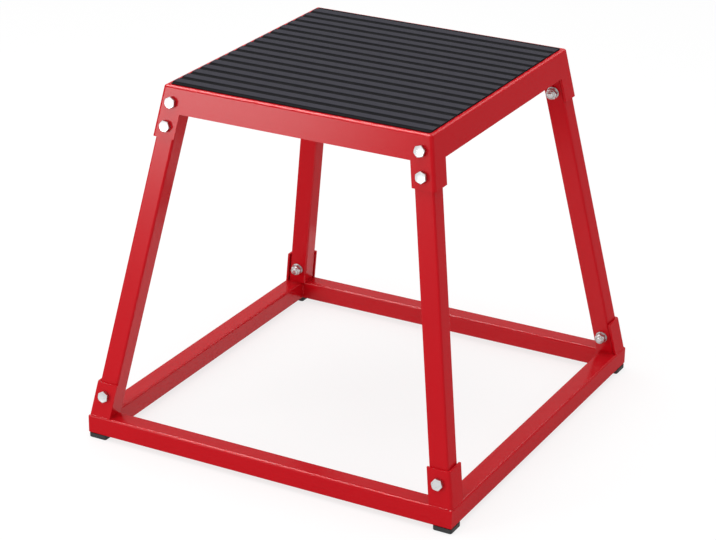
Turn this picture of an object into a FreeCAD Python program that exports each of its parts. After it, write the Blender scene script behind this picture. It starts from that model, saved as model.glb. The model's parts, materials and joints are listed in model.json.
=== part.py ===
import FreeCAD, Part
import math
import os
from collections import namedtuple

# Plyometric jump box: a ribbed tread on a pressed tray, splayed tube legs and a square tube base.
# Millimetres. +Z is up, X runs along the front of the base and Y runs to the back. The origin lies
# on the floor under the middle of the box. The box is a little deeper than wide, and its four sides
# lean in alike, so every corner is a compound splay: legs, brackets and tray flanges all follow the
# same sloped planes.

# Overall sizes
overall_height = 457.0
tray_width = 358.0
base_width = 506.0
extra_depth = 16.0

# Square tube of the legs and the base
tube_side = 25.0
tube_wall = 1.5
tube_corner_radius = 2.5

# Pressed tray
tray_skin = 1.5
flange_height = 32.0
tray_bend_inside = 1.5

# Corner brackets, bent from plate, flush with the tray and set back a little on the base
bracket_thickness = 3.0
bracket_bend_inside = 1.0
bracket_lap = 1.5
bracket_top_gap = 0.5
base_ledge = 0.8
leg_side_clearance = 0.2

# Bolts, washers and lock nuts
bolt_diameter = 8.0
bolt_hole_clearance = 0.5
hex_across_flats = 13.0
bolt_head_height = 5.3
hex_chamfer_angle = 30.0
hex_face_ratio = 0.95
hex_turn_step = 23.0
washer_diameter = 16.0
washer_thickness = 1.6
nut_hex_height = 5.8
nut_collar_diameter = 11.8
nut_collar_height = 2.2
nut_collar_radius = 1.0
thread_clearance = 0.1
thread_showing = 1.4

# Where the bolts sit along the legs
flange_bolt_margin = 10.0
leg_bolt_spacing = 29.0
top_bracket_margin = 12.0
base_bolt_rise = 25.0
base_bracket_margin = 19.5

# Ribbed rubber tread
rim_flat = 3.1
mat_base = 1.0
mat_corner_radius = 4.0
rib_height = 1.0
rib_pitch = 21.0
rib_crest = 10.5
rib_root = 16.0

# Rubber feet and their screws
foot_side = 25.0
foot_height = 6.0
foot_corner_radius = 3.0
foot_edge_chamfer = 1.0
screw_diameter = 4.2
screw_hole_clearance = 0.2
screw_head_diameter = 8.0
screw_head_height = 2.6
screw_head_recess = 0.6
screw_recess_clearance = 1.0
screw_reach = 7.0
screw_point = 2.0

# How far cutting bodies run past what they cut, and the least height that counts as a step
cut_past = 5.0
level_step = 0.001

Vector = FreeCAD.Vector
Corner = namedtuple("Corner", "name side_x side_y")
CORNERS = [
    Corner("front_left", -1, -1),
    Corner("front_right", 1, -1),
    Corner("back_left", -1, 1),
    Corner("back_right", 1, 1),
]
RAIL_TURNS = {"front": 0, "right": 90, "back": 180, "left": 270}

# Heights, splay and fits that follow from the sizes above
base_top = foot_height + tube_side
tray_top = overall_height - mat_base - rib_height
plate_underside = tray_top - tray_skin
flange_bottom = tray_top - flange_height
base_depth = base_width + extra_depth
splay = (base_width / 2 - base_ledge - tray_width / 2) / (tray_top - base_top)
splay_secant = math.sqrt(1 + splay ** 2)
bracket_bend_outside = bracket_bend_inside + bracket_thickness
bracket_flange = bracket_thickness + leg_side_clearance + tube_side + bracket_lap
leg_depth = bracket_thickness
tray_bend_outside = tray_bend_inside + tray_skin
tray_corner_outside = bracket_bend_outside
tray_corner_inside = tray_corner_outside - tray_skin
flange_edge_angle = math.pi / 2 + math.atan(splay)
tray_bend_reach = tray_bend_outside / math.tan(flange_edge_angle / 2)
mat_width = tray_width - 2 * (tray_bend_reach + rim_flat)
mat_depth = mat_width + extra_depth
bolt_hole_radius = (bolt_diameter + bolt_hole_clearance) / 2
upper_bolt_height = flange_bottom + flange_bolt_margin
lower_bolt_height = upper_bolt_height - leg_bolt_spacing
base_bolt_height = base_top + base_bolt_rise
top_bracket_high = plate_underside - tray_bend_inside - bracket_top_gap
top_bracket_low = lower_bolt_height - top_bracket_margin
base_bracket_high = base_bolt_height + base_bracket_margin
nut_height = nut_hex_height + nut_collar_height
bolt_length = leg_depth + tube_side + washer_thickness + nut_height + thread_showing
screw_seat = screw_head_recess + screw_head_height


def half_width(height, depth=0.0):
    """Half width of the sloped outline at a height, taken in square to its planes by a depth."""
    return tray_width / 2 + splay * (tray_top - height) - depth * splay_secant


def up_the_corner(corner):
    """Direction of the corner line, from the base up to the tray."""
    return Vector(-corner.side_x * splay, -corner.side_y * splay, 1).normalize()


def front_normal(corner):
    """Outward normal of the sloped front or back plane, the way the bolts point."""
    return Vector(0, corner.side_y, splay).normalize()


def side_normal(corner):
    """Outward normal of the sloped left or right plane."""
    return Vector(corner.side_x, 0, splay).normalize()


def inward_along(normal, other_normal, up):
    """Direction in one sloped plane, square to the corner line and away from the other plane."""
    along = normal.cross(up).normalize()
    return along if along.dot(other_normal) < 0 else along.negative()


def corner_point(corner, height, depth):
    """Point where the two sloped planes of a corner meet at a height, taken in by a depth."""
    half = half_width(height, depth)
    return Vector(corner.side_x * half, corner.side_y * (half + extra_depth / 2), height)


def leg_axis_point(corner, height):
    """Point on the middle line of a leg at a height."""
    up = up_the_corner(corner)
    normal = front_normal(corner)
    inward = inward_along(normal, side_normal(corner), up)
    offset = inward * (leg_side_clearance + tube_side / 2) - normal * (tube_side / 2)
    return corner_point(corner, height, leg_depth) + offset - up * (offset.z / up.z)


def level_outline(half, height):
    """Level outline about the middle of the box, from its half width."""
    deep = half + extra_depth / 2
    points = [(-half, -deep), (half, -deep), (half, deep), (-half, deep), (-half, -deep)]
    return Part.makePolygon([Vector(x, y, height) for x, y in points])


def rounded_outline(centre, along, across, length, breadth, radius):
    """Oblong outline with round corners in the plane of two directions."""
    bend_reach = radius * (1 - math.sqrt(0.5))
    edges = []
    for turn in range(4):
        far = centre + along * (length / 2) + across * (breadth / 2)
        start = far - along * radius
        bend = far - (along + across) * bend_reach
        end = far - across * radius
        next_start = far - across * (breadth - radius)
        edges.append(Part.Arc(start, bend, end).toShape())
        edges.append(Part.LineSegment(end, next_start).toShape())
        along, across = across.negative(), along
        length, breadth = breadth, length
    return Part.Wire(Part.__sortEdges__(edges))


def tube_face(centre, along, across):
    """Hollow section of the square tube."""
    bore_side = tube_side - 2 * tube_wall
    bore_radius = tube_corner_radius - tube_wall
    outside = rounded_outline(centre, along, across, tube_side, tube_side, tube_corner_radius)
    inside = rounded_outline(centre, along, across, bore_side, bore_side, bore_radius)
    return Part.makeFace([outside, inside], "Part::FaceMakerBullseye")


def level_slab(low, high):
    """Block that spans the box between two heights."""
    span = 2 * base_depth
    return Part.makeBox(span, span, high - low, Vector(-span / 2, -span / 2, low))


def trim_level(bar, low, high):
    """Cuts both ends of a leaning bar level."""
    return bar.common(level_slab(low, high))


def leaning_run(low, high):
    """Height below the lower cut where a leaning bar starts, and its length up the corner line."""
    overrun = 2 * bracket_flange
    length = (high - low + 2 * overrun) * math.sqrt(1 + 2 * splay ** 2)
    return low - overrun, length


def bolt_hole(corner, height):
    """Cutter for a bolt hole square to the front or back plane, right through the corner."""
    normal = front_normal(corner)
    length = 2 * tube_side + 2 * leg_depth + 2 * cut_past
    start = leg_axis_point(corner, height) - normal * (length / 2)
    return Part.makeCylinder(bolt_hole_radius, length, start, normal)


def rounded_frustum(low, high, depth, corner_radius, edge_radius):
    """Block inside the four sloped planes, with round corners and a round top edge."""
    wires = [level_outline(half_width(height, depth), height) for height in (low, high)]
    body = Part.makeLoft(wires, True, True)
    corner_edges = [edge for edge in body.Edges if edge.BoundBox.ZLength > (high - low) / 2]
    body = body.makeFillet(corner_radius, corner_edges)
    top_edges = [edge for edge in body.Edges if edge.BoundBox.ZMin > high - level_step]
    return body.makeFillet(edge_radius, top_edges)


def angle_bar(corner, low, high, reach, depth):
    """Sharp angle along a corner, from a reach outside its planes to a depth inside, and its bend lines."""
    start_height, length = leaning_run(low, high)
    up = up_the_corner(corner)
    normals = (front_normal(corner), side_normal(corner))
    inward = [inward_along(normals[i], normals[1 - i], up) for i in range(2)]
    mitre = (normals[0] + normals[1]) * (1 / (1 + normals[0].dot(normals[1])))
    middle = corner_point(corner, start_height, 0.0)
    outer = middle + mitre * reach
    inner = middle - mitre * depth
    tips = [middle + inward[i] * bracket_flange for i in range(2)]
    outer_tips = [tips[i] + normals[i] * reach for i in range(2)]
    inner_tips = [tips[i] - normals[i] * depth for i in range(2)]
    outline = [outer, outer_tips[0], inner_tips[0], inner, inner_tips[1], outer_tips[1], outer]
    bar = Part.Face(Part.makePolygon(outline)).extrude(up * length)
    bend_lines = [Part.makeLine(point, point + up * length) for point in (outer, inner)]
    return bar, bend_lines


def make_bracket(corner, low, high, bolt_heights):
    """Bent plate angle around the two outer faces of a leg, cut level at both ends."""
    angle, bend_lines = angle_bar(corner, low, high, 0.0, bracket_thickness)
    for line, radius in zip(bend_lines, (bracket_bend_outside, bracket_bend_inside)):
        middle = line.CenterOfMass
        bend = [edge for edge in angle.Edges if edge.CenterOfMass.distanceToPoint(middle) < radius / 10]
        angle = angle.makeFillet(radius, bend)
    angle = trim_level(angle, low, high)
    return angle.cut([bolt_hole(corner, height) for height in bolt_heights])


def bracket_notch(corner):
    """Cutter for the tray corner that a top bracket fills, flush with the flanges."""
    low = flange_bottom - cut_past
    angle, _ = angle_bar(corner, low, top_bracket_high, cut_past, bracket_thickness)
    return trim_level(angle, low, top_bracket_high)


def make_tray():
    """Pressed sheet tray whose flanges lean out along the legs, notched at its corners for the brackets."""
    outside = rounded_frustum(flange_bottom, tray_top, 0.0, tray_corner_outside, tray_bend_outside)
    inside = rounded_frustum(
        flange_bottom - cut_past, plate_underside, tray_skin, tray_corner_inside, tray_bend_inside
    )
    return outside.cut(inside).cut([bracket_notch(corner) for corner in CORNERS])


def make_mat():
    """Rubber tread with flat-topped ribs that run along X."""
    half = mat_width / 2
    deep = mat_depth / 2
    rib_count = int((mat_depth - rib_root) // rib_pitch) + 1
    mat_top = tray_top + mat_base
    points = [Vector(-half, -deep, tray_top), Vector(-half, -deep, mat_top)]
    for index in range(rib_count):
        middle = (index - (rib_count - 1) / 2) * rib_pitch
        points.append(Vector(-half, middle - rib_root / 2, mat_top))
        points.append(Vector(-half, middle - rib_crest / 2, mat_top + rib_height))
        points.append(Vector(-half, middle + rib_crest / 2, mat_top + rib_height))
        points.append(Vector(-half, middle + rib_root / 2, mat_top))
    points.append(Vector(-half, deep, mat_top))
    points.append(Vector(-half, deep, tray_top))
    section = Part.Face(Part.makePolygon(points + points[:1]))
    ribbed = section.extrude(Vector(mat_width, 0, 0))
    middle = Vector(0, 0, tray_top)
    outline = rounded_outline(
        middle, Vector(1, 0, 0), Vector(0, 1, 0), mat_width, mat_depth, mat_corner_radius
    )
    blank = Part.Face(outline).extrude(Vector(0, 0, overall_height - tray_top))
    return ribbed.common(blank)


def make_leg(corner):
    """Square tube leg, cut level to stand on the base and carry the tray plate."""
    start_height, length = leaning_run(base_top, plate_underside)
    up = up_the_corner(corner)
    normal = front_normal(corner)
    inward = inward_along(normal, side_normal(corner), up)
    section = tube_face(leg_axis_point(corner, start_height), inward, normal)
    leg = trim_level(section.extrude(up * length), base_top, plate_underside)
    heights = (upper_bolt_height, lower_bolt_height, base_bolt_height)
    return leg.cut([bolt_hole(corner, height) for height in heights])


def make_rail(turn, length, reach):
    """Base rail with mitred ends and its half of each foot screw's hole, a reach from the middle."""
    half = length / 2
    middle = Vector(-half, -reach + tube_side / 2, foot_height + tube_side / 2)
    section = tube_face(middle, Vector(0, 1, 0), Vector(0, 0, 1))
    bar = section.extrude(Vector(length, 0, 0))
    inner_half = half - tube_side
    inner = reach - tube_side
    plan = [(-half, -reach), (half, -reach), (inner_half, -inner), (-inner_half, -inner), (-half, -reach)]
    mitre = Part.Face(Part.makePolygon([Vector(x, y, foot_height) for x, y in plan]))
    rail = bar.common(mitre.extrude(Vector(0, 0, tube_side)))
    hole_radius = (screw_diameter + screw_hole_clearance) / 2
    for side in (-1, 1):
        start = Vector(side * (half - foot_side / 2), foot_side / 2 - reach, foot_height - cut_past)
        rail = rail.cut(Part.makeCylinder(hole_radius, cut_past + 2 * tube_wall, start))
    rail.rotate(Vector(0, 0, 0), Vector(0, 0, 1), turn)
    return rail


def foot_centre(corner):
    """Middle of a foot on the floor, flush with the outer faces of the base."""
    reach = (base_width - foot_side) / 2
    deep = (base_depth - foot_side) / 2
    return Vector(corner.side_x * reach, corner.side_y * deep, 0)


def make_foot(corner):
    """Rubber pad with a recess for its screw's head."""
    centre = foot_centre(corner)
    outline = rounded_outline(
        centre, Vector(1, 0, 0), Vector(0, 1, 0), foot_side, foot_side, foot_corner_radius
    )
    pad = Part.Face(outline).extrude(Vector(0, 0, foot_height))
    floor_edges = [edge for edge in pad.Edges if edge.BoundBox.ZMax < foot_height / 2]
    pad = pad.makeChamfer(foot_edge_chamfer, floor_edges)
    recess_radius = (screw_head_diameter + screw_recess_clearance) / 2
    hole_radius = (screw_diameter + screw_hole_clearance) / 2
    pad = pad.cut(Part.makeCylinder(recess_radius, cut_past + screw_seat, centre - Vector(0, 0, cut_past)))
    return pad.cut(Part.makeCylinder(hole_radius, foot_height + cut_past, centre))


def make_foot_screw(corner):
    """Self-tapping screw with a domed head, up through a foot into the base."""
    head = screw_head_diameter / 2
    shank = screw_diameter / 2
    ball = (head ** 2 + screw_head_height ** 2) / (2 * screw_head_height)
    dome_points = []
    for angle in (0, math.asin(head / ball) / 2, math.asin(head / ball)):
        drop = screw_head_recess + ball * (1 - math.cos(angle))
        dome_points.append(Vector(ball * math.sin(angle), 0, drop))
    dome = Part.Arc(*dome_points).toShape()
    tip = foot_height + screw_reach
    rest = Part.makePolygon([
        Vector(head, 0, screw_seat),
        Vector(shank, 0, screw_seat),
        Vector(shank, 0, tip - screw_point),
        Vector(0, 0, tip),
        Vector(0, 0, screw_head_recess),
    ])
    profile = Part.Face(Part.Wire([dome] + rest.Edges))
    screw = profile.revolve(Vector(0, 0, 0), Vector(0, 0, 1), 360)
    screw.translate(foot_centre(corner))
    return screw


def hex_block(height):
    """Hexagon of the bolts' and nuts' width, standing on Z = 0, with its upper corners turned off."""
    radius = hex_across_flats / math.sqrt(3)
    angles = [math.radians(60 * index + 30) for index in range(7)]
    outline = [Vector(radius * math.cos(angle), radius * math.sin(angle), 0) for angle in angles]
    prism = Part.Face(Part.makePolygon(outline)).extrude(Vector(0, 0, height))
    face_radius = hex_face_ratio * hex_across_flats / 2
    flare = height / math.tan(math.radians(hex_chamfer_angle))
    return prism.common(Part.makeCone(face_radius + flare, face_radius, height))


def make_bolt_blank():
    """Hexagon bolt along Z, its head standing on Z = 0 and its shank below."""
    shank = Part.makeCylinder(bolt_diameter / 2, bolt_length, Vector(0, 0, -bolt_length))
    return hex_block(bolt_head_height).fuse(shank).removeSplitter()


def make_nut_blank():
    """Lock nut along Z: a hexagon with a round collar for its locking ring."""
    collar = Part.makeCylinder(nut_collar_diameter / 2, nut_height)
    rim = [edge for edge in collar.Edges if edge.BoundBox.ZMin > nut_height / 2]
    collar = collar.makeFillet(nut_collar_radius, rim)
    bore = Part.makeCylinder(bolt_diameter / 2 + thread_clearance, nut_height)
    return hex_block(nut_hex_height).fuse(collar).removeSplitter().cut(bore)


def make_washer_blank():
    """Flat washer standing on Z = 0."""
    ring = Part.makeCylinder(washer_diameter / 2, washer_thickness)
    return ring.cut(Part.makeCylinder(bolt_hole_radius, washer_thickness))


def seat_fastener(blank, corner, height, distance, facing, turn):
    """Copy of a fastener turned about its axis and set along a bolt's line through a leg."""
    normal = front_normal(corner)
    place = leg_axis_point(corner, height) + normal * distance
    spin = FreeCAD.Rotation(Vector(0, 0, 1), turn)
    aim = FreeCAD.Rotation(Vector(0, 0, 1), normal * facing)
    copy = blank.copy()
    copy.Placement = FreeCAD.Placement(place, aim.multiply(spin))
    return copy


def make_fasteners(heights):
    """Bolts, washers and nuts of every corner at the given heights."""
    blanks = {"bolts": make_bolt_blank(), "washers": make_washer_blank(), "nuts": make_nut_blank()}
    groups = {kind: [] for kind in blanks}
    for corner in CORNERS:
        for height in heights:
            turn = hex_turn_step * len(groups["bolts"])
            seats = {
                "bolts": (tube_side / 2 + bracket_thickness, 1),
                "washers": (-tube_side / 2, -1),
                "nuts": (-tube_side / 2 - washer_thickness, -1),
            }
            for kind, (distance, facing) in seats.items():
                groups[kind].append(seat_fastener(blanks[kind], corner, height, distance, facing, turn))
    return {kind: Part.makeCompound(solids) for kind, solids in groups.items()}


def make_pieces():
    """Every piece of the box by its name."""
    pieces = {"top_tray": make_tray(), "tread_mat": make_mat()}
    top_heights = (upper_bolt_height, lower_bolt_height)
    base_heights = (base_bolt_height,)
    for corner in CORNERS:
        pieces["leg_" + corner.name] = make_leg(corner)
        pieces["top_bracket_" + corner.name] = make_bracket(
            corner, top_bracket_low, top_bracket_high, top_heights
        )
        pieces["base_bracket_" + corner.name] = make_bracket(
            corner, base_top, base_bracket_high, base_heights
        )
        pieces["foot_" + corner.name] = make_foot(corner)
    for side, turn in RAIL_TURNS.items():
        spans = (base_width, base_depth) if turn % 180 == 0 else (base_depth, base_width)
        pieces["base_rail_" + side] = make_rail(turn, spans[0], spans[1] / 2)
    for kind, group in make_fasteners(top_heights).items():
        pieces["top_" + kind] = group
    for kind, group in make_fasteners(base_heights).items():
        pieces["base_" + kind] = group
    pieces["foot_screws"] = Part.makeCompound([make_foot_screw(corner) for corner in CORNERS])
    return pieces


os.makedirs("parts", exist_ok=True)
for node, shape in make_pieces().items():
    shape.exportStep("parts/" + node + ".step")
    print(node, "solids", len(shape.Solids), "valid", shape.isValid(), "volume", round(shape.Volume, 1))
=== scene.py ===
"""Looks of a steel plyometric jump box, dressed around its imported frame. Metres, +Z up."""

import json
import logging
import math
import random
from dataclasses import dataclass, field
from enum import Enum
from typing import Callable, Iterator

import bmesh
import bpy
from mathutils import Matrix, Vector

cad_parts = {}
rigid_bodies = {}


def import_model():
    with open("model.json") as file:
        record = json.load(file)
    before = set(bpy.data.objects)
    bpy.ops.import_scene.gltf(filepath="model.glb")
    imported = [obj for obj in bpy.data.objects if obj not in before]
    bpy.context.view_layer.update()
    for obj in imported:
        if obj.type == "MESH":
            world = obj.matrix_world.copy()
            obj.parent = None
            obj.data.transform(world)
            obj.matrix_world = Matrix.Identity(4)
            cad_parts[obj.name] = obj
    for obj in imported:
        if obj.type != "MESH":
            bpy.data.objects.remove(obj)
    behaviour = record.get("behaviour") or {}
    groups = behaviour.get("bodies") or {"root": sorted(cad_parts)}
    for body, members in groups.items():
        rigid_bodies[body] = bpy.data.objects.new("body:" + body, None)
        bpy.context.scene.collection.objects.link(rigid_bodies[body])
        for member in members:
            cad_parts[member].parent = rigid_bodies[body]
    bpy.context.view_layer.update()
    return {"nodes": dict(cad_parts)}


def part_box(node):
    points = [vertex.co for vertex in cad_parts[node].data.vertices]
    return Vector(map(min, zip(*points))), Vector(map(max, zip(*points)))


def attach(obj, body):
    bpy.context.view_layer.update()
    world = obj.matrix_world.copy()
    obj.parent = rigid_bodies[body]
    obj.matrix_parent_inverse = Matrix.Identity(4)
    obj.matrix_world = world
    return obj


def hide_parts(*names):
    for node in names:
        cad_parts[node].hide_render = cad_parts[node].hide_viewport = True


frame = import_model()

MM = 0.001
BODY = "root"
LOG = logging.getLogger("jump_box")

QUARTER_TURN = math.pi / 2
FULL_SPAN = (0.0, 1.0)
NOISE_SPAN = (0.25, 0.75)  # Noise of the mottle between which the roughness swings
GRAIN_SPAN = (0.3, 0.7)  # Heights of the grain between which the skin's share swings
RUB_ROUGHNESS = 0.25  # Roughness that a full rub adds
DUST_FINENESS = 4.0  # Patches of dust for each patch of mottle
SAME_POINT = 1e-6  # Points closer than this are one
PLACE_DIGITS = 4  # Digits by which fasteners are put in order
EDGE_SEGMENTS = 2
EDGE_ANGLE = math.radians(32)  # Sharper edges than this are broken
FLAT_WEIGHT = 60  # How much flat faces decide the shading at their edges
BEAD_SEED = 11

Pair = tuple[float, float]
Point = tuple[float, float, float]
Colour = tuple[float, float, float]
Polar = float | Callable[[float], float]
Run = tuple[Vector, Vector]
Socket = bpy.types.NodeSocket
Material = bpy.types.Material
BMesh = bmesh.types.BMesh
Vert = bmesh.types.BMVert


class Slot(Enum):
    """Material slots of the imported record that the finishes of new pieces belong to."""

    RED_POWDER_COAT = "red_powder_coat"
    TREAD_RUBBER = "tread_rubber"
    ZINC_PLATE = "zinc_plate"


class Corner(Enum):
    """Corners of the box, each with its side along X and along Y."""

    FRONT_LEFT = (-1, -1)
    FRONT_RIGHT = (1, -1)
    BACK_LEFT = (-1, 1)
    BACK_RIGHT = (1, 1)

    @property
    def label(self) -> str:
        """Name of the corner as the frame's nodes write it."""
        return self.name.lower()

    def place(self, x: float, y: float, z: float) -> Vector:
        """Point of the first quadrant mirrored into this corner."""
        return Vector((self.value[0] * x, self.value[1] * y, z))


class Side(Enum):
    """Sides of the base."""

    FRONT = "front"
    RIGHT = "right"
    BACK = "back"
    LEFT = "left"


class BoltRow(Enum):
    """Rows of bolts: through the tray's brackets and through those of the base."""

    TOP = "top"
    BASE = "base"


# Shader effects and finishes


class NodeSketch:
    """Adds and joins nodes in one node tree."""

    MIX_FIRST, MIX_SECOND, MIX_RESULT = 6, 7, 2  # Colour sockets of a Mix node

    def __init__(self, tree: bpy.types.NodeTree) -> None:
        """Starts on an empty tree."""
        self.tree = tree
        self.tree.nodes.clear()

    def add(self, kind: str, **values: object) -> bpy.types.Node:
        """Adds a node.

        Args:
            kind: Node type name without its ShaderNode prefix.
            values: Settings of the node, or links and values of its inputs by name. An input's
                spaces are written as underscores.

        Returns:
            The new node.
        """
        node = self.tree.nodes.new("ShaderNode" + kind)
        for name, value in values.items():
            if name in node.bl_rna.properties and not isinstance(value, Socket):
                setattr(node, name, value)
        for name, value in values.items():
            socket = node.inputs.get(name.replace("_", " "))
            if socket is not None and name not in node.bl_rna.properties:
                self.feed(value, socket)
        return node

    def feed(self, value: object, socket: Socket) -> None:
        """Links a socket to another, or sets it to a constant.

        Args:
            value: The other socket or the constant.
            socket: Input that takes it.
        """
        if isinstance(value, Socket):
            self.tree.links.new(value, socket)
        elif socket.type == "RGBA":
            socket.default_value = (*value, 1.0)
        else:
            socket.default_value = value

    def math(self, operation: str, first: object, second: object) -> Socket:
        """Adds a Math node.

        Args:
            operation: What the node does.
            first: First link or number.
            second: Second link or number.

        Returns:
            The node's result.
        """
        node = self.add("Math", operation=operation)
        self.feed(first, node.inputs[0])
        self.feed(second, node.inputs[1])
        return node.outputs[0]

    def blend(self, factor: Socket, first: object, second: object) -> Socket:
        """Mixes two colours.

        Args:
            factor: Share of the second colour.
            first: Link or colour.
            second: Link or colour.

        Returns:
            The mixed colour.
        """
        node = self.add("Mix", data_type="RGBA")
        self.feed(factor, node.inputs["Factor"])
        self.feed(first, node.inputs[self.MIX_FIRST])
        self.feed(second, node.inputs[self.MIX_SECOND])
        return node.outputs[self.MIX_RESULT]

    def remap(self, value: Socket, span: Pair, target: Pair = FULL_SPAN) -> Socket:
        """Maps a value smoothly from one span to another.

        Args:
            value: Link to the value.
            span: Least and greatest of it.
            target: What these two become.

        Returns:
            The mapped value.
        """
        node = self.add("MapRange", interpolation_type="SMOOTHSTEP")
        for index, part in enumerate((value, *span, *target)):
            self.feed(part, node.inputs[index])
        return node.outputs[0]

    def noise(self, place: Socket, scale: Socket, detail: float, roughness: float) -> Socket:
        """Adds a noise texture and returns its value."""
        node = self.add("TexNoise", Vector=place, Scale=scale, Detail=detail, Roughness=roughness)
        return node.outputs[0]


class SurfaceEffects:
    """Node groups that the finishes share, each built once."""

    MOTTLE_MIDDLE = 0.5
    LEVEL_SPAN = (0.55, 0.98)  # Upward part of the normal where dust starts and is full
    PATCH_SPAN = (0.35, 0.75)  # Noise that the patches of dust are cut from
    PATCH_COVER = (0.25, 1.0)
    LINE_SPAN = (0.66, 0.8)  # Noise that the hairlines are cut from
    LINE_SETS = ((0.35, (1.0, 26.0, 26.0)), (1.2, (24.0, 1.0, 24.0)))  # Turn and stretch
    LINE_TILT = (1.0, 0.6, 1.7)  # Share of that turn about each axis
    TOOTH_FINENESS = 5.0

    def __init__(self) -> None:
        """Builds every group."""
        self.mottle = self._mottle()
        self.dust = self._dust()
        self.hairlines = self._hairlines()
        self.grain = self._grain()

    @staticmethod
    def _start(
        name: str, inputs: dict[str, str], outputs: dict[str, str]
    ) -> tuple[NodeSketch, dict[str, Socket], dict[str, Socket]]:
        """Makes an empty group with named sockets.

        Args:
            name: Name of the group.
            inputs: Input names and their socket types, Float or Color.
            outputs: Output names and their socket types.

        Returns:
            The sketch of the group's tree, its inputs by name and its output sockets by name.
        """
        tree = bpy.data.node_groups.new(name, "ShaderNodeTree")
        sketch = NodeSketch(tree)
        for direction, sockets in (("INPUT", inputs), ("OUTPUT", outputs)):
            for socket, kind in sockets.items():
                tree.interface.new_socket(socket, in_out=direction, socket_type="NodeSocket" + kind)
        entry = tree.nodes.new("NodeGroupInput")
        leave = tree.nodes.new("NodeGroupOutput")
        given = {key: entry.outputs[key] for key in inputs}
        made = {key: leave.inputs[key] for key in outputs}
        return sketch, given, made

    def _mottle(self) -> bpy.types.NodeTree:
        """Builds the slow change of tone that every coating and moulding has.

        Returns:
            The group, which tones a colour and gives the noise it does that by.
        """
        sketch, given, made = self._start(
            "Mottle",
            {"Color": "Color", "Spread": "Float", "Scale": "Float"},
            {"Color": "Color", "Value": "Float"},
        )
        place = sketch.add("TexCoord").outputs["Object"]
        cloud = sketch.noise(place, given["Scale"], detail=4.0, roughness=0.6)
        swing = sketch.math("SUBTRACT", cloud, self.MOTTLE_MIDDLE)
        swing = sketch.math("MULTIPLY", swing, given["Spread"])
        value = sketch.math("ADD", swing, 1.0)
        toned = sketch.add("HueSaturation", Color=given["Color"], Value=value)
        sketch.feed(toned.outputs[0], made["Color"])
        sketch.feed(cloud, made["Value"])
        return sketch.tree

    def _dust(self) -> bpy.types.NodeTree:
        """Builds the thin dust that settles on faces that look up.

        Returns:
            The group, which dusts a colour and gives the mask it does that by.
        """
        sketch, given, made = self._start(
            "SettledDust",
            {"Color": "Color", "Dust": "Color", "Amount": "Float", "Scale": "Float"},
            {"Color": "Color", "Mask": "Float"},
        )
        place = sketch.add("TexCoord").outputs["Object"]
        normal = sketch.add("NewGeometry").outputs["Normal"]
        level = sketch.add("SeparateXYZ", Vector=normal).outputs["Z"]
        lying = sketch.remap(level, self.LEVEL_SPAN)
        cloud = sketch.noise(place, given["Scale"], detail=6.0, roughness=0.62)
        patches = sketch.remap(cloud, self.PATCH_SPAN, self.PATCH_COVER)
        mask = sketch.math("MULTIPLY", sketch.math("MULTIPLY", lying, patches), given["Amount"])
        sketch.feed(sketch.blend(mask, given["Color"], given["Dust"]), made["Color"])
        sketch.feed(mask, made["Mask"])
        return sketch.tree

    def _hairlines(self) -> bpy.types.NodeTree:
        """Builds sparse hairline rubs, as handling leaves them.

        Returns:
            The group, which gives the lines as a mask and as a height.
        """
        sketch, given, made = self._start(
            "Hairlines",
            {"Scale": "Float", "Amount": "Float"},
            {"Mask": "Float", "Height": "Float"},
        )
        place = sketch.add("TexCoord").outputs["Object"]
        lines = []
        for turn, stretch in self.LINE_SETS:
            tilt = tuple(turn * share for share in self.LINE_TILT)
            bent = sketch.add("Mapping", Vector=place, Rotation=tilt, Scale=stretch).outputs[0]
            lines.append(sketch.noise(bent, given["Scale"], detail=2.0, roughness=0.45))
        cut = sketch.remap(sketch.math("MAXIMUM", *lines), self.LINE_SPAN)
        mask = sketch.math("MULTIPLY", cut, given["Amount"])
        sketch.feed(mask, made["Mask"])
        sketch.feed(sketch.math("MULTIPLY", mask, -1.0), made["Height"])
        return sketch.tree

    def _grain(self) -> bpy.types.NodeTree:
        """Builds a fine grain: lumps with a finer tooth on them.

        Returns:
            The group, which gives the grain as a height.
        """
        sketch, given, made = self._start(
            "SkinGrain", {"Scale": "Float", "Tooth": "Float"}, {"Height": "Float"}
        )
        place = sketch.add("TexCoord").outputs["Object"]
        lumps = sketch.noise(place, given["Scale"], detail=2.0, roughness=0.4)
        finer = sketch.math("MULTIPLY", given["Scale"], self.TOOTH_FINENESS)
        tooth = sketch.noise(place, finer, detail=1.0, roughness=0.5)
        height = sketch.math("ADD", lumps, sketch.math("MULTIPLY", tooth, given["Tooth"]))
        sketch.feed(height, made["Height"])
        return sketch.tree


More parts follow.
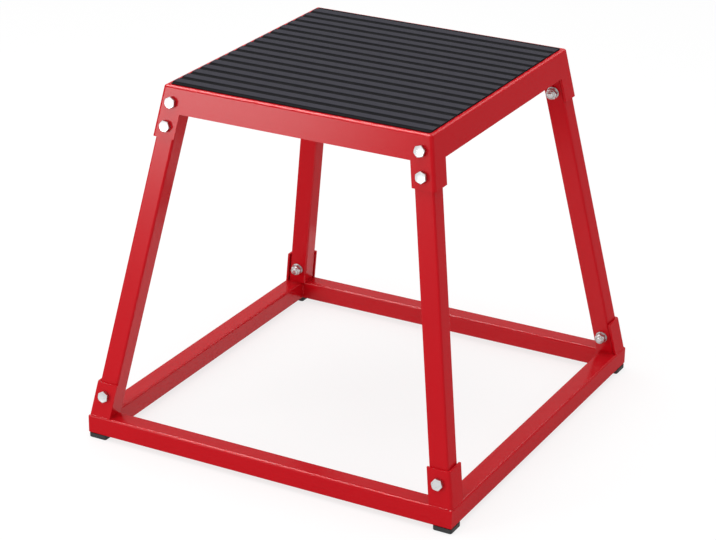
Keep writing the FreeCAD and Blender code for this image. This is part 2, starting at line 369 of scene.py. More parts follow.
@dataclass(frozen=True)
class Finish:
    """What every finish has: a colour, how it changes, and the dust and rubs on it.

    Args:
        name: Name of the material.
        colour: Linear base colour.
        roughness: Least and greatest roughness.
        metallic: 1 for bare metal, 0 for coats, rubber and plastic.
        specular: Strength of the dielectric reflection.
        skin: Least and greatest share of a clear skin over the colour.
        skin_roughness: Roughness of that skin.
        mottle_spread: Share by which the colour swings.
        mottle_scale: Patches per metre of that swing.
        dust: Colour of settled dust.
        dust_amount: Most that dust covers.
        rubs: Strength of hairline rubs.
        rub_scale: Lines per metre.
        grain_scale: Lumps of the grain per metre.
        grain_tooth: Share of the finer tooth in it.
        grain_depth: Depth of the grain in metres.
    """

    name: str
    colour: Colour
    roughness: Pair
    metallic: float = 0.0
    specular: float = 0.5
    skin: Pair = (0.0, 0.0)
    skin_roughness: float = 0.2
    mottle_spread: float = 0.1
    mottle_scale: float = 14.0
    dust: Colour = (0.42, 0.40, 0.38)
    dust_amount: float = 0.02
    rubs: float = 0.1
    rub_scale: float = 40.0
    grain_scale: float = 700.0
    grain_tooth: float = 0.3
    grain_depth: float = 0.00005

    def base_colour(self, sketch: NodeSketch) -> Colour | Socket:
        """Colour before mottle, dust and rubs: one colour, or a socket where it changes."""
        return self.colour

    def build(self, effects: SurfaceEffects) -> Material:
        """Makes the material.

        Args:
            effects: Shared node groups.

        Returns:
            The finished material.
        """
        material = bpy.data.materials.new(self.name)
        material.use_nodes = True
        sketch = NodeSketch(material.node_tree)
        toned = sketch.add(
            "Group",
            node_tree=effects.mottle,
            Color=self.base_colour(sketch),
            Spread=self.mottle_spread,
            Scale=self.mottle_scale,
        )
        dusted = sketch.add(
            "Group",
            node_tree=effects.dust,
            Color=toned.outputs["Color"],
            Dust=self.dust,
            Amount=self.dust_amount,
            Scale=self.mottle_scale * DUST_FINENESS,
        )
        rubbed = sketch.add(
            "Group", node_tree=effects.hairlines, Scale=self.rub_scale, Amount=self.rubs
        )
        grain = sketch.add(
            "Group", node_tree=effects.grain, Scale=self.grain_scale, Tooth=self.grain_tooth
        )
        sheen = sketch.remap(toned.outputs["Value"], NOISE_SPAN, self.roughness)
        scuffs = sketch.math("MULTIPLY", rubbed.outputs["Mask"], RUB_ROUGHNESS)
        sheen = sketch.math("ADD", sheen, scuffs)
        sheen = sketch.math("ADD", sheen, dusted.outputs["Mask"])
        height = sketch.math("ADD", grain.outputs["Height"], rubbed.outputs["Height"])
        bump = sketch.add("Bump", Height=height, Strength=1.0, Distance=self.grain_depth)
        shader = sketch.add(
            "BsdfPrincipled",
            Base_Color=dusted.outputs["Color"],
            Metallic=self.metallic,
            Roughness=sheen,
            Specular_IOR_Level=self.specular,
            Coat_Roughness=self.skin_roughness,
            Normal=bump.outputs[0],
        )
        if self.skin[1] > 0.0:
            skin = sketch.remap(grain.outputs["Height"], GRAIN_SPAN, self.skin)
            sketch.feed(skin, shader.inputs["Coat Weight"])
        sketch.add("OutputMaterial", Surface=shader.outputs[0])
        return material


@dataclass(frozen=True)
class RibbedFinish(Finish):
    """Finish of ribs whose grooves are painted dark as shade and whose crests are paler, as rubbed
    wear and painted highlight.

    Args:
        crest_colour: Linear colour of the rubbed crests with painted highlight; the other colour is
            the grooves' painted shade.
        groove_height: Height of the grooves' floor.
        crest_height: Height of the crests.
    """

    crest_colour: Colour = (0.03, 0.03, 0.034)
    groove_height: float = 0.0
    crest_height: float = 1.0

    def base_colour(self, sketch: NodeSketch) -> Socket:
        """Colour that pales from the grooves' painted shade up to the rubbed, highlighted crests.

        Args:
            sketch: Tree of the material.

        Returns:
            The changing colour.
        """
        place = sketch.add("TexCoord").outputs["Object"]
        height = sketch.add("SeparateXYZ", Vector=place).outputs["Z"]
        # Painted shade and highlight: the lower the surface, the darker; the crests get the paler
        # rubbed colour
        groove_shade_and_crest_wear = sketch.remap(height, (self.groove_height, self.crest_height))
        return sketch.blend(groove_shade_and_crest_wear, self.colour, self.crest_colour)


POWDER_COAT = Finish(
    name="red_powder_coat",
    colour=(0.53, 0.004, 0.010),
    roughness=(0.21, 0.26),
    specular=0.0,
    skin=(0.128, 0.208),
    skin_roughness=0.22,
    mottle_spread=0.08,
    dust_amount=0.012,
    rubs=0.12,
    grain_scale=620.0,
    grain_depth=0.00006,
)
TREAD_RUBBER = RibbedFinish(
    name="ribbed_tread_rubber",
    # colour is the grooves' painted shade; crest_colour is rubbed wear with a painted highlight
    colour=(0.006, 0.006, 0.0075),
    crest_colour=(0.042, 0.041, 0.052),
    groove_height=456.4 * MM,
    crest_height=457.0 * MM,
    roughness=(0.62, 0.75),
    specular=0.035,
    mottle_spread=0.35,
    mottle_scale=22.0,
    dust_amount=0.015,
    rubs=0.2,
    rub_scale=60.0,
    grain_scale=1500.0,
    grain_tooth=0.6,
    grain_depth=0.00012,
)
FOOT_RUBBER = Finish(
    name="foot_pad_rubber",
    colour=(0.016, 0.016, 0.017),
    roughness=(0.6, 0.75),
    mottle_spread=0.3,
    mottle_scale=60.0,
    dust_amount=0.1,
    rubs=0.2,
    rub_scale=90.0,
    grain_scale=1300.0,
    grain_tooth=0.5,
    grain_depth=0.0001,
)
ZINC_PLATE = Finish(
    name="bright_zinc_plate",
    colour=(0.60, 0.605, 0.61),
    roughness=(0.24, 0.36),
    metallic=1.0,
    mottle_spread=0.12,
    mottle_scale=160.0,
    dust_amount=0.02,
    rubs=0.5,
    rub_scale=160.0,
    grain_scale=2600.0,
    grain_depth=0.00002,
)
LOCK_RING_NYLON = Finish(
    name="lock_ring_nylon",
    colour=(0.62, 0.62, 0.58),
    roughness=(0.38, 0.5),
    mottle_spread=0.06,
    mottle_scale=300.0,
    dust_amount=0.03,
    rubs=0.2,
    rub_scale=200.0,
    grain_scale=2000.0,
    grain_depth=0.00003,
)


class Palette:
    """Every finish of the box, made once."""

    def __init__(self) -> None:
        """Builds the shared effects, then the materials."""
        effects = SurfaceEffects()
        self.powder_coat = POWDER_COAT.build(effects)
        self.tread_rubber = TREAD_RUBBER.build(effects)
        self.foot_rubber = FOOT_RUBBER.build(effects)
        self.zinc_plate = ZINC_PLATE.build(effects)
        self.lock_ring_nylon = LOCK_RING_NYLON.build(effects)


# Mesh tools


def dress(node: str, material: Material, edge_round: float = 0.0) -> None:
    """Gives a node of the frame its finish and breaks its sharp edges.

    Args:
        node: Name of the node.
        material: Finish of all its faces.
        edge_round: Width of the broken edges, or 0 to leave them as they are.
    """
    piece = frame["nodes"][node]
    piece.data.materials.clear()
    piece.data.materials.append(material)
    if edge_round > 0.0:
        soften_edges(piece, edge_round, weld=True)
    LOG.info("dressed %s with %s", node, material.name)


def soften_edges(piece: bpy.types.Object, width: float, weld: bool = False) -> None:
    """Breaks the sharp edges of a piece with a narrow round and keeps its flats flat.

    Args:
        piece: Mesh object.
        width: Width of the round.
        weld: Whether the faces come apart at their edges and need joining first.
    """
    if weld:
        join = piece.modifiers.new("join_faces", "WELD")
        join.merge_threshold = SAME_POINT
    edge = piece.modifiers.new("broken_edges", "BEVEL")
    edge.width = width
    edge.segments = EDGE_SEGMENTS
    edge.limit_method = "ANGLE"
    edge.angle_limit = EDGE_ANGLE
    edge.face_strength_mode = "FSTR_ALL"
    flats = piece.modifiers.new("flat_faces", "WEIGHTED_NORMAL")
    flats.keep_sharp = False
    flats.use_face_influence = True
    flats.weight = FLAT_WEIGHT


def finish_piece(
    name: str,
    bm: BMesh,
    material: Material,
    slot: Slot | None,
    smooth_angle: float = 30.0,
) -> bpy.types.Object:
    """Turns a built mesh into a piece that rides on the box.

    Args:
        name: Name of the piece.
        bm: The mesh, which is used up.
        material: Finish of the piece.
        slot: Slot of the record that the finish belongs to, where it has one; not used.
        smooth_angle: Angle in degrees above which an edge stays sharp.

    Returns:
        The new object.
    """
    bmesh.ops.recalc_face_normals(bm, faces=bm.faces)
    mesh = bpy.data.meshes.new(name)
    bm.to_mesh(mesh)
    bm.free()
    mesh.materials.append(material)
    mesh.shade_smooth()
    mesh.set_sharp_from_angle(angle=math.radians(smooth_angle))
    piece = bpy.data.objects.new(name, mesh)
    bpy.context.scene.collection.objects.link(piece)
    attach(piece, BODY)
    LOG.info("built %s, %d faces", name, len(mesh.polygons))
    return piece


class RingLoft:
    """Skin over rings of points that are stacked along a local Z axis."""

    def __init__(self, bm: BMesh, placement: Matrix, steps: int) -> None:
        """Starts an empty stack.

        Args:
            bm: Mesh that the skin goes into.
            placement: Where the local axes lie.
            steps: Points in each ring.
        """
        self.bm = bm
        self.placement = placement
        self.angles = [math.tau * step / steps for step in range(steps)]
        self.rings: list[list[Vert]] = []

    def ring(self, radius: Polar, height: Polar) -> None:
        """Adds a ring and joins it to the last one.

        Args:
            radius: Radius, or a function of the angle.
            height: Height, or a function of the angle.
        """
        verts = []
        for angle in self.angles:
            reach = radius(angle) if callable(radius) else radius
            rise = height(angle) if callable(height) else height
            local = Vector((reach * math.cos(angle), reach * math.sin(angle), rise))
            verts.append(self.bm.verts.new(self.placement @ local))
        if self.rings:
            self._join(self.rings[-1], verts)
        self.rings.append(verts)

    def _join(self, lower: list[Vert], upper: list[Vert]) -> None:
        """Joins two rings with quads.

        Args:
            lower: Points of the first ring.
            upper: As many points of the second.
        """
        for index in range(len(lower)):
            after = (index + 1) % len(lower)
            self.bm.faces.new((lower[index], lower[after], upper[after], upper[index]))

    def cap_ends(self) -> None:
        """Closes the first and the last ring with a face each."""
        self.bm.faces.new(list(reversed(self.rings[0])))
        self.bm.faces.new(self.rings[-1])

    def close_round(self) -> None:
        """Joins the last ring to the first, for a skin with a hole through it."""
        self._join(self.rings[-1], self.rings[0])


@dataclass(frozen=True)
class FrameSizes:
    """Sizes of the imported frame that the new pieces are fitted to.

    Args:
        rail_half: Half width of the base's rails along X.
        foot_half: Half width of the sloped outline where it meets the base.
        deeper: How much more the half depth along Y is, at every height.
        base_top: Height of the rails' upper faces.
        rail_side: Side of the square tube.
        tray_low_half: Half width of the tray at its flanges' lower edge.
        flange_bottom: Height of that edge.
    """

    rail_half: float
    foot_half: float
    deeper: float
    base_top: float
    rail_side: float
    tray_low_half: float
    flange_bottom: float

    @classmethod
    def measure(cls) -> "FrameSizes":
        """Reads the sizes from the frame's nodes.

        Returns:
            All of them, in metres.
        """
        rail_low, rail_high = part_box("base_rail_front")
        tray_low, tray_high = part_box("top_tray")
        return cls(
            rail_half=rail_high.x,
            foot_half=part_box("base_bracket_front_right")[1].x,
            deeper=-rail_low.y - rail_high.x,
            base_top=rail_high.z,
            rail_side=rail_high.z - rail_low.z,
            tray_low_half=tray_high.x,
            flange_bottom=tray_low.z,
        )

    @property
    def splay(self) -> float:
        """Run of the sloped sides for each unit of rise."""
        return (self.foot_half - self.tray_low_half) / (self.flange_bottom - self.base_top)

    def half_width(self, height: float, depth: float) -> float:
        """Half width of the outline at a height, taken in square to its planes by a depth."""
        outer = self.foot_half - self.splay * (height - self.base_top)
        return outer - depth * math.hypot(1.0, self.splay)

    def spot(self, corner: Corner, x: float, y: float, z: float) -> Vector:
        """Point of a corner from its place in a square box of the same width."""
        return corner.place(x, y + self.deeper, z)


@dataclass(frozen=True)
class FastenerSpot:
    """Where one bolt or nut of the frame sits.

    Args:
        middle: Point on the axis at the end that is low along it.
        axis: Direction that points out of the box.
        length: Length along the axis.
        corner_turn: Angle of one hexagon corner about the axis.
    """

    middle: Vector
    axis: Vector
    length: float
    corner_turn: float

    def placement(self, along: float, outward: bool) -> Matrix:
        """Local axes on the fastener's line.

        Args:
            along: Distance of the origin from the low end.
            outward: Whether the local Z axis points out of the box or into it.

        Returns:
            The matrix of those axes, with X through a hexagon corner.
        """
        across = side_axis(self.axis)
        turned = Matrix.Rotation(self.corner_turn, 3, self.axis) @ across
        up = self.axis if outward else -self.axis
        third = up.cross(turned)
        axes = Matrix((turned, third, up)).transposed().to_4x4()
        return Matrix.Translation(self.middle + self.axis * along) @ axes


def side_axis(axis: Vector) -> Vector:
    """Level direction square to a bolt's axis."""
    return Vector((0.0, 0.0, 1.0)).cross(axis).normalized()


def islands(node: str) -> Iterator[list[Vector]]:
    """Points of each separate solid in a node of the frame.

    Args:
        node: Name of the node.

    Returns:
        One list of points for each solid.
    """
    bm = bmesh.new()
    bm.from_mesh(frame["nodes"][node].data)
    bmesh.ops.remove_doubles(bm, verts=bm.verts, dist=SAME_POINT)
    waiting = set(bm.verts)
    while waiting:
        edge_of_search = [waiting.pop()]
        found = []
        while edge_of_search:
            vert = edge_of_search.pop()
            found.append(vert.co.copy())
            for link in vert.link_edges:
                other = link.other_vert(vert)
                if other in waiting:
                    waiting.remove(other)
                    edge_of_search.append(other)
        yield found
    bm.free()


def fastener_spots(node: str, sizes: FrameSizes) -> list[FastenerSpot]:
    """Finds every bolt or nut of a node.

    Args:
        node: Name of the node.
        sizes: Sizes of the frame, for the slope of the bolted faces.

    Returns:
        One spot for each, in order of place.
    """
    spots = []
    for points in islands(node):
        facing = math.copysign(1.0, sum(point.y for point in points))
        axis = Vector((0.0, facing, sizes.splay)).normalized()
        across = side_axis(axis)
        third = axis.cross(across)
        spans = []
        for direction in (across, third, axis):
            reach = [point.dot(direction) for point in points]
            spans.append((min(reach), max(reach)))
        middle = across * (sum(spans[0]) / 2) + third * (sum(spans[1]) / 2) + axis * spans[2][0]
        offsets = [point - middle for point in points]
        flat = [(offset.dot(across), offset.dot(third)) for offset in offsets]
        far = max(flat, key=lambda place: math.hypot(*place))
        turn = math.atan2(far[1], far[0])
        spots.append(FastenerSpot(middle, axis, spans[2][1] - spans[2][0], turn))
    return sorted(
        spots, key=lambda spot: tuple(round(value, PLACE_DIGITS) for value in spot.middle)
    )


def hexagon(across_flats: float, corner_round: float) -> Callable[[float], float]:
    """Radius of a hexagon with slightly rounded corners, one of them at angle 0.

    Args:
        across_flats: Width between opposite flats.
        corner_round: Share of the corners' overhang that stays.

    Returns:
        The radius as a function of the angle.
    """
    flat = across_flats / 2
    most = flat * (1.0 + corner_round * (2.0 / math.sqrt(3.0) - 1.0))

    def radius(angle: float) -> float:
        """Radius at an angle."""
        from_flat = (angle % (math.pi / 3)) - math.pi / 6
        return min(flat / math.cos(from_flat), most)

    return radius


# Sub-assemblies


@dataclass
class TreadMat:
    """Black rubber tread with flat ribs along X, bonded on the tray."""

    palette: Palette
    rib_pitch: float = 21 * MM
    rib_crest: float = 10.5 * MM
    rib_root: float = 16 * MM
    floor_rise: float = 1.0 * MM
    crest_round: float = 0.8 * MM
    root_round: float = 0.8 * MM
    round_steps: int = 5
    corner_radius: float = 4 * MM
    corner_steps: int = 8
    corner_inside: float = 0.999  # Keeps the first points off the corner's start
    edge_round: float = 0.3 * MM

    def profile(self, half: float, low: float, high: float) -> list[Pair]:
        """Upper line of the section across the ribs.

        Args:
            half: Half depth of the mat.
            low: Height of its underside.
            high: Height of the ribs' crests.

        Returns:
            Points of Y and Z from front to back.
        """
        floor = low + self.floor_rise
        count = int((2 * half - self.rib_root) // self.rib_pitch) + 1
        points = []
        for step in range(self.corner_steps):
            turn = QUARTER_TURN * step / self.corner_steps
            end = half - self.corner_radius * (1 - math.sin(turn)) * self.corner_inside
            points += [(-end, floor), (end, floor)]
        for index in range(count):
            middle = (index - (count - 1) / 2) * self.rib_pitch
            line = [
                (middle - self.rib_pitch, floor),
                (middle - self.rib_root / 2, floor),
                (middle - self.rib_crest / 2, high),
                (middle + self.rib_crest / 2, high),
                (middle + self.rib_root / 2, floor),
                (middle + self.rib_pitch, floor),
            ]
            rounds = (self.root_round, self.crest_round, self.crest_round, self.root_round)
            for place, reach in enumerate(rounds):
                points += self.rounded(*line[place : place + 3], reach)
        return sorted(points)

    def rounded(self, before: Pair, corner: Pair, after: Pair, reach: float) -> list[Pair]:
        """Smooth bend in place of a corner of the section.

        Args:
            before: Point before the corner.
            corner: The corner.
            after: Point after it.
            reach: How far from the corner the bend starts and ends.

        Returns:
            Points of the bend.
        """
        tip = Vector(corner)
        start = tip + (Vector(before) - tip).normalized() * reach
        end = tip + (Vector(after) - tip).normalized() * reach
        bend = []
        for step in range(self.round_steps + 1):
            share = step / self.round_steps
            point = start.lerp(tip, share).lerp(tip.lerp(end, share), share)
            bend.append((point.x, point.y))
        return bend

    def side_reach(self, y: float, half: float, deep: float) -> float:
        """Half width of the mat at a place along its depth, less in the round corners.

        Args:
            y: The place.
            half: Half width between the corners.
            deep: Half depth.

        Returns:
            The half width there.
        """
        into = abs(y) - (deep - self.corner_radius)
        if into <= 0.0:
            return half
        return half - self.corner_radius + math.sqrt(max(self.corner_radius**2 - into**2, 0.0))

    def build(self) -> None:
        """Builds the mat in place of its plain solid."""
        low_corner, high_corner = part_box("tread_mat")
        half, deep, low, high = high_corner.x, high_corner.y, low_corner.z, high_corner.z
        bm = bmesh.new()
        rows = []
        for y, z in self.profile(deep, low, high):
            reach = self.side_reach(y, half, deep)
            ends = [bm.verts.new((x, y, height)) for x in (-reach, reach) for height in (low, z)]
            rows.append(ends)
        for row, after in zip(rows, rows[1:]):
            left_low, left_high, right_low, right_high = row
            next_left_low, next_left_high, next_right_low, next_right_high = after
            bm.faces.new((left_high, right_high, next_right_high, next_left_high))
            bm.faces.new((left_low, next_left_low, next_right_low, right_low))
            bm.faces.new((left_low, left_high, next_left_high, next_left_low))
            bm.faces.new((right_low, next_right_low, next_right_high, right_high))
        for row in (rows[0], rows[-1]):
            bm.faces.new((row[0], row[2], row[3], row[1]))
        piece = finish_piece("ribbed_tread", bm, self.palette.tread_rubber, Slot.TREAD_RUBBER)
        soften_edges(piece, self.edge_round)
        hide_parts("tread_mat")


@dataclass
class WeldBeads:
    """Small rippled weld beads under the paint."""

    material: Material
    radius: float
    ripple_pitch: float = 1.7 * MM
    ripple_depth: float = 0.12  # Share of the radius
    unevenness: float = 0.03  # Share of the radius
    taper_reach: float = 1.5  # Length of a tapered end in radii
    least_taper: float = 0.02  # Square of the share of the radius that is left at an end
    ring_step: float = 0.4 * MM
    fewest_steps: int = 8
    around: int = 12
    smooth_angle: float = 70.0
    draws: random.Random = field(default_factory=lambda: random.Random(BEAD_SEED))

    def run(self, bm: BMesh, start: Vector, end: Vector) -> None:
        """Adds one straight bead.

        Args:
            bm: Mesh that the bead goes into.
            start: Middle of the bead where it starts.
            end: Middle of the bead where it ends.
        """
        along = end - start
        turn = along.to_track_quat("Z", "X").to_matrix().to_4x4()
        loft = RingLoft(bm, Matrix.Translation(start) @ turn, self.around)
        count = max(int(along.length / self.ring_step), self.fewest_steps)
        phase = self.draws.uniform(0.0, math.pi)
        for index in range(count + 1):
            share = index / count
            place = along.length * share
            from_end = min(place, along.length - place) / (self.taper_reach * self.radius)
            taper = math.sqrt(max(1.0 - (1.0 - min(from_end, 1.0)) ** 2, self.least_taper))
            ripple = abs(math.sin(math.pi * place / self.ripple_pitch + phase))
            chance = self.draws.uniform(-self.unevenness, self.unevenness)
            swell = 1.0 - self.ripple_depth * ripple + chance
            loft.ring(self.radius * taper * swell, place)
        loft.cap_ends()

    def build(self, name: str, runs: list[Run]) -> None:
        """Builds beads as one piece.

        Args:
            name: Name of the piece.
            runs: Start and end of every bead.
        """
        bm = bmesh.new()
        for start, end in runs:
            self.run(bm, start, end)
        finish_piece(name, bm, self.material, Slot.RED_POWDER_COAT, self.smooth_angle)


@dataclass
class SheetMetalTop:
    """Pressed tray with the angle brackets welded into its corners."""

    palette: Palette
    sizes: FrameSizes
    tray_skin: float = 1.5 * MM
    bead_radius: float = 1.3 * MM
    bead_low: float = 5.0 * MM
    bead_length: float = 18.0 * MM

    def build(self) -> None:
        """Dresses the tray and its flush brackets and lays their weld beads."""
        dress("top_tray", self.palette.powder_coat)
        for corner in Corner:
            dress("top_bracket_" + corner.label, self.palette.powder_coat)
        beads = WeldBeads(self.palette.powder_coat, self.bead_radius)
        beads.build("tray_bracket_welds", self.bead_runs())

    def bead_runs(self) -> list[Run]:
        """Lines where the brackets' free edges meet the inside of the flanges.

        Returns:
            Start and end of each line, two for each corner.
        """
        bracket_low, bracket_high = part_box("top_bracket_front_right")
        heights = [self.sizes.flange_bottom + self.bead_low]
        heights.append(heights[0] + self.bead_length)
        runs = []
        for corner in Corner:
            for along_x in (True, False):
                ends = []
                for height in heights:
                    edge = bracket_low.x + self.sizes.splay * (bracket_high.z - height)
                    face = self.sizes.half_width(height, self.tray_skin)
                    plan = (edge, face) if along_x else (face, edge)
                    ends.append(self.sizes.spot(corner, *plan, height))
                runs.append((ends[0], ends[1]))
        return runs


@dataclass
class SplayedLegs:
    """Square tube legs."""

    palette: Palette

    def build(self) -> None:
        """Dresses the four legs."""
        for corner in Corner:
            dress("leg_" + corner.label, self.palette.powder_coat)


@dataclass
class BaseFrame:
    """Mitred tube base with its corner brackets, rubber feet and their screws."""

    palette: Palette
    sizes: FrameSizes
    edge_round: float = 0.45 * MM
    foot_edge_round: float = 0.5 * MM
    corner_bead_radius: float = 1.6 * MM
    corner_bead_margin: float = 4.0 * MM
    foot_bead_radius: float = 0.95 * MM
    foot_bead_drop: float = 0.25 * MM
    foot_bead_inset: float = 0.3 * MM
    foot_bead_start: float = 3.0 * MM

    def build(self) -> None:
        """Dresses rails, brackets and feet and lays the weld beads."""
        for side in Side:
            dress("base_rail_" + side.value, self.palette.powder_coat)
        for corner in Corner:
            dress("base_bracket_" + corner.label, self.palette.powder_coat, self.edge_round)
            dress("foot_" + corner.label, self.palette.foot_rubber, self.foot_edge_round)
        dress("foot_screws", self.palette.zinc_plate)
        beads = WeldBeads(self.palette.powder_coat, self.corner_bead_radius)
        beads.build("base_corner_welds", self.corner_runs())
        beads = WeldBeads(self.palette.powder_coat, self.foot_bead_radius)
        beads.build("bracket_foot_welds", self.foot_runs())

    def corner_runs(self) -> list[Run]:
        """Upright lines in the inner corners of the base, where two rails meet.

        Returns:
            Start and end of each line.
        """
        inner = self.sizes.rail_half - self.sizes.rail_side
        low = self.sizes.base_top - self.sizes.rail_side + self.corner_bead_margin
        high = self.sizes.base_top - self.corner_bead_margin
        runs = []
        for corner in Corner:
            ends = [self.sizes.spot(corner, inner, inner, height) for height in (low, high)]
            runs.append((ends[0], ends[1]))
        return runs

    def foot_runs(self) -> list[Run]:
        """Lines along the brackets' lower edges, outside, where they stand on the rails.

        Returns:
            Start and end of each line, two for each corner.
        """
        bracket_low, bracket_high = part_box("base_bracket_front_right")
        face = bracket_high.x - self.foot_bead_inset
        end = bracket_low.x + self.sizes.splay * (bracket_high.z - bracket_low.z)
        height = self.sizes.base_top - self.foot_bead_drop
        start = face - self.foot_bead_start
        spot = self.sizes.spot
        runs = []
        for corner in Corner:
            runs.append((spot(corner, start, face, height), spot(corner, end, face, height)))
            runs.append((spot(corner, face, start, height), spot(corner, face, end, height)))
        return runs


@dataclass
class BoltSet:
    """Zinc plated bolts, washers and lock nuts of one row of holes."""

    palette: Palette
    sizes: FrameSizes
    row: BoltRow
    across_flats: float = 13.0 * MM
    head_height: float = 5.3 * MM
    face_share: float = 0.94
    chamfer_angle: float = 30.0
    corner_share: float = 0.86
    seat_height: float = 0.35 * MM
    seat_share: float = 0.96
    seat_step: float = 0.985  # Share of the hexagon where it starts above the seat
    seat_bevel: float = 1.6  # Height in seats where the hexagon is full
    dish_depth: float = 0.18 * MM
    dish_share: float = 0.72
    dish_rim: float = 0.97
    dish_middle: float = 0.5
    shank_radius: float = 4.0 * MM
    thread_depth: float = 0.62 * MM
    thread_pitch: float = 1.25 * MM
    thread_length: float = 5.0 * MM
    thread_slices: int = 8
    thread_flank: float = 1.35
    tip_bevel: float = 0.5 * MM
    tip_fade: float = 0.6
    nut_hex_height: float = 5.8 * MM
    nut_height: float = 8.0 * MM
    collar_radius: float = 5.9 * MM
    lip_radius: float = 5.05 * MM
    lip_round: float = 0.9 * MM
    lip_edge: float = 0.1 * MM
    lip_steps: int = 6
    bore_radius: float = 4.1 * MM
    bore_mouth: float = 1.08
    ring_radius: float = 4.03 * MM
    ring_drop: float = 0.35 * MM
    ring_floor: float = 2.0 * MM
    ring_gap: float = 0.02 * MM
    ring_crown: float = 0.12 * MM
    washer_edge: float = 0.25 * MM
    steps: int = 72

    def build(self) -> None:
        """Builds the bolts and nuts in place of their plain solids and dresses the washers."""
        row = self.row.value
        zinc = self.palette.zinc_plate
        bolts = bmesh.new()
        for spot in fastener_spots(row + "_bolts", self.sizes):
            self.add_bolt(bolts, spot)
        piece = finish_piece(row + "_bolts_threaded", bolts, zinc, Slot.ZINC_PLATE)
        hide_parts(row + "_bolts")
        nuts = bmesh.new()
        rings = bmesh.new()
        for spot in fastener_spots(row + "_nuts", self.sizes):
            self.add_nut(nuts, spot)
            self.add_lock_ring(rings, spot)
        piece = finish_piece(row + "_lock_nuts", nuts, zinc, Slot.ZINC_PLATE)
        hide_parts(row + "_nuts")
        finish_piece(row + "_lock_rings", rings, self.palette.lock_ring_nylon, None)
        dress(row + "_washers", zinc, self.washer_edge)

    def chamfered(self, face_radius: float, top: float) -> Callable[[float], float]:
        """Height of a hexagon's flats under its turned chamfer.

        Args:
            face_radius: Radius of the flat face that the chamfer leaves.
            top: Height of that face.

        Returns:
            The height as a function of the angle.
        """
        radius = hexagon(self.across_flats, self.corner_share)
        slope = math.tan(math.radians(self.chamfer_angle))
        return lambda angle: min(top, top - (radius(angle) - face_radius) * slope)

    def thread(self, height: float, tip: float) -> Callable[[float], float]:
        """Radius of the thread at a height.

        Args:
            height: The height.
            tip: Height of the bolt's tip.

        Returns:
            The radius as a function of the angle.
        """
        fade = min(1.0, (height - tip) / self.thread_pitch)

        def radius(angle: float) -> float:
            """Radius of the thread.

            Args:
                angle: Angle about the axis.

            Returns:
                The radius there.
            """
            turn = ((height - tip) / self.thread_pitch - angle / math.tau) % 1.0
            ridge = 1.0 - abs(2.0 * turn - 1.0)
            groove = self.thread_depth * (1.0 - min(1.0, self.thread_flank * ridge))
            return self.shank_radius - groove - self.tip_bevel * (1.0 - fade) * self.tip_fade

        return radius

    def add_bolt(self, bm: BMesh, spot: FastenerSpot) -> None:
        """Adds one hexagon bolt: a threaded tip, a plain shank and a head on its washer face.

        Args:
            bm: Mesh that it goes into.
            spot: Where it sits.
        """
        tip = self.head_height - spot.length
        loft = RingLoft(bm, spot.placement(spot.length - self.head_height, True), self.steps)
        loft.ring(self.shank_radius - self.thread_depth - self.tip_bevel, tip)
        slices = int(self.thread_length / self.thread_pitch * self.thread_slices)
        for index in range(1, slices + 1):
            height = tip + self.tip_bevel + self.thread_length * index / slices
            loft.ring(self.thread(height, tip), height)
        loft.ring(self.shank_radius, tip + self.thread_length + 2 * self.tip_bevel)
        loft.ring(self.shank_radius, 0.0)
        hex_radius = hexagon(self.across_flats, self.corner_share)
        flat = self.across_flats / 2
        loft.ring(flat * self.seat_share, 0.0)
        loft.ring(flat * self.seat_share, self.seat_height)
        loft.ring(lambda angle: hex_radius(angle) * self.seat_step, self.seat_height)
        loft.ring(hex_radius, self.seat_height * self.seat_bevel)
        loft.ring(hex_radius, self.chamfered(flat * self.face_share, self.head_height))
        loft.ring(flat * self.face_share, self.head_height)
        loft.ring(flat * self.face_share * self.dish_rim, self.head_height)
        floor = self.head_height - self.dish_depth
        loft.ring(flat * self.dish_share, floor)
        loft.ring(flat * self.dish_share * self.dish_middle, floor)
        loft.cap_ends()

    def add_nut(self, bm: BMesh, spot: FastenerSpot) -> None:
        """Adds one lock nut: a hexagon with a rolled collar around its ring.

        Args:
            bm: Mesh that it goes into.
            spot: Where it sits.
        """
        loft = RingLoft(bm, spot.placement(spot.length, False), self.steps)
        hex_radius = hexagon(self.across_flats, self.corner_share)
        flat = self.across_flats / 2
        ring_floor = self.nut_height - self.ring_floor
        loft.ring(self.bore_radius * self.bore_mouth, 0.0)
        loft.ring(flat * self.seat_share, 0.0)
        loft.ring(hex_radius, self.seat_height)
        loft.ring(hex_radius, self.chamfered(flat * self.face_share, self.nut_hex_height))
        loft.ring(self.collar_radius, self.nut_hex_height)
        straight = self.nut_height - self.lip_round
        roll = self.collar_radius - self.lip_radius - self.lip_edge
        for step in range(self.lip_steps + 1):
            turn = QUARTER_TURN * step / self.lip_steps
            inward = roll * (1.0 - math.cos(turn))
            loft.ring(self.collar_radius - inward, straight + self.lip_round * math.sin(turn))
        loft.ring(self.lip_radius, self.nut_height - self.lip_edge)
        loft.ring(self.lip_radius, ring_floor)
        loft.ring(self.bore_radius, ring_floor)
        loft.close_round()

    def add_lock_ring(self, bm: BMesh, spot: FastenerSpot) -> None:
        """Adds the nylon ring inside one nut's collar.

        Args:
            bm: Mesh that it goes into.
            spot: Where it sits.
        """
        loft = RingLoft(bm, spot.placement(spot.length, False), self.steps)
        outer = self.lip_radius - self.ring_gap
        top = self.nut_height - self.ring_drop
        low = self.nut_height - self.ring_floor + self.ring_gap
        crown = self.ring_crown
        loft.ring(self.ring_radius, low)
        loft.ring(outer, low)
        loft.ring(outer, top - crown)
        loft.ring(outer - crown, top)
        loft.ring(self.ring_radius + 2 * crown, top)
        loft.ring(self.ring_radius, top - 2 * crown)
        loft.close_round()


# Studio


